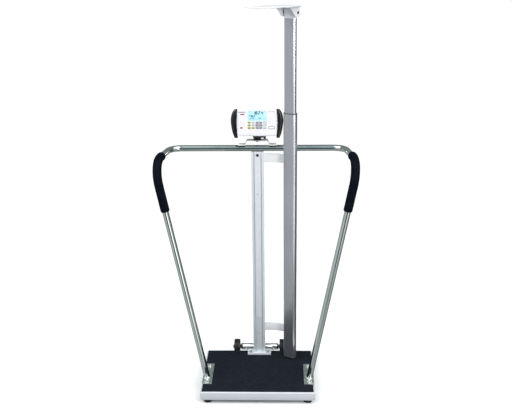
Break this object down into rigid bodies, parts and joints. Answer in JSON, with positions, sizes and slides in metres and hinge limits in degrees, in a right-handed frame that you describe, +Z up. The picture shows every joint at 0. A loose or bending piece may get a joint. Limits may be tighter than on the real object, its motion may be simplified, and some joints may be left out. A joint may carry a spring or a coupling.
{
  "type": "clinical platform scale",
  "caption": "Stand-on clinical scale: low load-cell platform, wrap-round handrail with foam grips, tilting and swivelling display on a column, and telescoping height rod with folding headpiece.",
  "frame": {"origin": "on the floor, in the middle of the whole object's footprint box", "axes": "+Z up, +Y towards the rear, the display and the open side of the handrail face -Y, a person who reads the display faces +Y, and +X is the side of the height rod"},
  "size_m": [0.7874, 0.433, 1.5382],
  "materials": {
    "white_steel": "white powder coat",
    "dark_steel": "dark painted steel",
    "zinc": "bright zinc plate",
    "chrome": "polished chrome",
    "column_aluminium": "satin anodised",
    "strip_grey": "satin grey inlay",
    "rod_aluminium": "grey satin anodised",
    "bare_aluminium": "milled",
    "mat_rubber": "matt ribbed",
    "black_rubber": "matt",
    "foam": "soft closed-cell foam",
    "black_plastic": "satin",
    "white_plastic": "satin gloss",
    "overlay_white": "printed film",
    "lcd_blue": "glossy pale blue display window",
    "board_green": "solder mask",
    "battery_blue": "shrink film"
  },
  "bodies": {
    "scale": {"axle_bracket_left": "white_steel", "axle_bracket_right": "white_steel", "column_base_bolt_left": "zinc", "column_base_bolt_right": "zinc", "column_base_plate": "white_steel", "column_front_strip": "strip_grey", "column_post": "column_aluminium", "column_top_bolt": "black_plastic", "display_bridge": "white_steel", "handrail_grip_left": "foam", "handrail_grip_right": "foam", "handrail_tube": "chrome", "junction_box": "black_plastic", "load_cell_front_left": "bare_aluminium", "load_cell_front_right": "bare_aluminium", "load_cell_rear_left": "bare_aluminium", "load_cell_rear_right": "bare_aluminium", "platform_cover": "white_steel", "platform_frame": "dark_steel", "platform_mat": "mat_rubber", "rail_bolt_front_left": "zinc", "rail_bolt_front_right": "zinc", "rail_bolt_rear_left": "zinc", "rail_bolt_rear_right": "zinc", "rail_plate_left": "zinc", "rail_plate_right": "zinc", "rod_bracket_lower": "white_steel", "rod_bracket_upper": "white_steel", "rod_collar": "black_plastic", "rod_outer_tube": "rod_aluminium", "saddle_pad_left": "black_rubber", "saddle_pad_right": "black_rubber", "signal_cable": "black_rubber", "strip_screw_lower": "black_plastic", "strip_screw_upper": "black_plastic", "wheel_axle": "chrome"},
    "foot_front_left": {"leveling_foot_front_left": "black_rubber"},
    "foot_front_right": {"leveling_foot_front_right": "black_rubber"},
    "foot_rear_left": {"leveling_foot_rear_left": "black_rubber"},
    "foot_rear_right": {"leveling_foot_rear_right": "black_rubber"},
    "swivel": {"swivel_disc": "black_plastic", "swivel_neck": "black_plastic"},
    "knob": {"tilt_knob": "black_plastic"},
    "display": {"display_yoke": "black_plastic", "display_rear_shell": "white_plastic", "display_front_shell": "white_plastic", "keypad_overlay": "overlay_white", "lcd_panel": "lcd_blue", "main_board": "board_green", "display_end_cap_left": "black_plastic", "display_end_cap_right": "black_plastic", "battery_pack": "battery_blue"},
    "battery_cover": {"battery_lid": "white_plastic"},
    "inner_rod": {"rod_inner_tube": "rod_aluminium", "rod_guide_shoe": "black_plastic", "rod_top_cap": "white_plastic"},
    "head": {"headpiece": "white_plastic", "head_pin": "black_plastic"},
    "left_wheel": {"wheel_left": "black_rubber"},
    "right_wheel": {"wheel_right": "black_rubber"}
  },
  "joints": [
    {"name": "display_swivel", "type": "hinge", "parent": "scale", "child": "swivel", "pos_m": [0, 0.1175, 1.002], "axis": [0, 0, 1], "range_deg": [-90, 90]},
    {"name": "display_tilt", "type": "hinge", "parent": "swivel", "child": "display", "pos_m": [0, 0.1175, 1.015], "axis": [-1, 0, 0], "range_deg": [-15, 25]},
    {"name": "tilt_knob_turn", "type": "hinge", "parent": "swivel", "child": "knob", "pos_m": [0.03, 0.1175, 1.015], "axis": [1, 0, 0], "range_deg": [0, 360]},
    {"name": "battery_lid_slide", "type": "slide", "parent": "display", "child": "battery_cover", "axis": [0, -0.1736, -0.9848], "range_m": [0, 0.035]},
    {"name": "rod_slide", "type": "slide", "parent": "scale", "child": "inner_rod", "axis": [0, 0, 1], "range_m": [-0.36, 0.5]},
    {"name": "head_fold", "type": "hinge", "parent": "inner_rod", "child": "head", "pos_m": [0.1315, 0.0765, 1.502], "axis": [0.866, -0.5, 0], "range_deg": [0, 90]},
    {"name": "wheel_spin_left", "type": "hinge", "parent": "scale", "child": "left_wheel", "pos_m": [-0.0995, 0.1835, 0.05], "axis": [1, 0, 0], "continuous": true},
    {"name": "wheel_spin_right", "type": "hinge", "parent": "scale", "child": "right_wheel", "pos_m": [0.0995, 0.1835, 0.05], "axis": [1, 0, 0], "continuous": true},
    {"name": "foot_turn_front_left", "type": "hinge", "parent": "scale", "child": "foot_front_left", "pos_m": [-0.2, -0.1885, 0], "axis": [0, 0, 1], "continuous": true},
    {"name": "foot_turn_front_right", "type": "hinge", "parent": "scale", "child": "foot_front_right", "pos_m": [0.2, -0.1885, 0], "axis": [0, 0, 1], "continuous": true},
    {"name": "foot_turn_rear_left", "type": "hinge", "parent": "scale", "child": "foot_rear_left", "pos_m": [-0.2, 0.1115, 0], "axis": [0, 0, 1], "continuous": true},
    {"name": "foot_turn_rear_right", "type": "hinge", "parent": "scale", "child": "foot_rear_right", "pos_m": [0.2, 0.1115, 0], "axis": [0, 0, 1], "continuous": true}
  ]
}
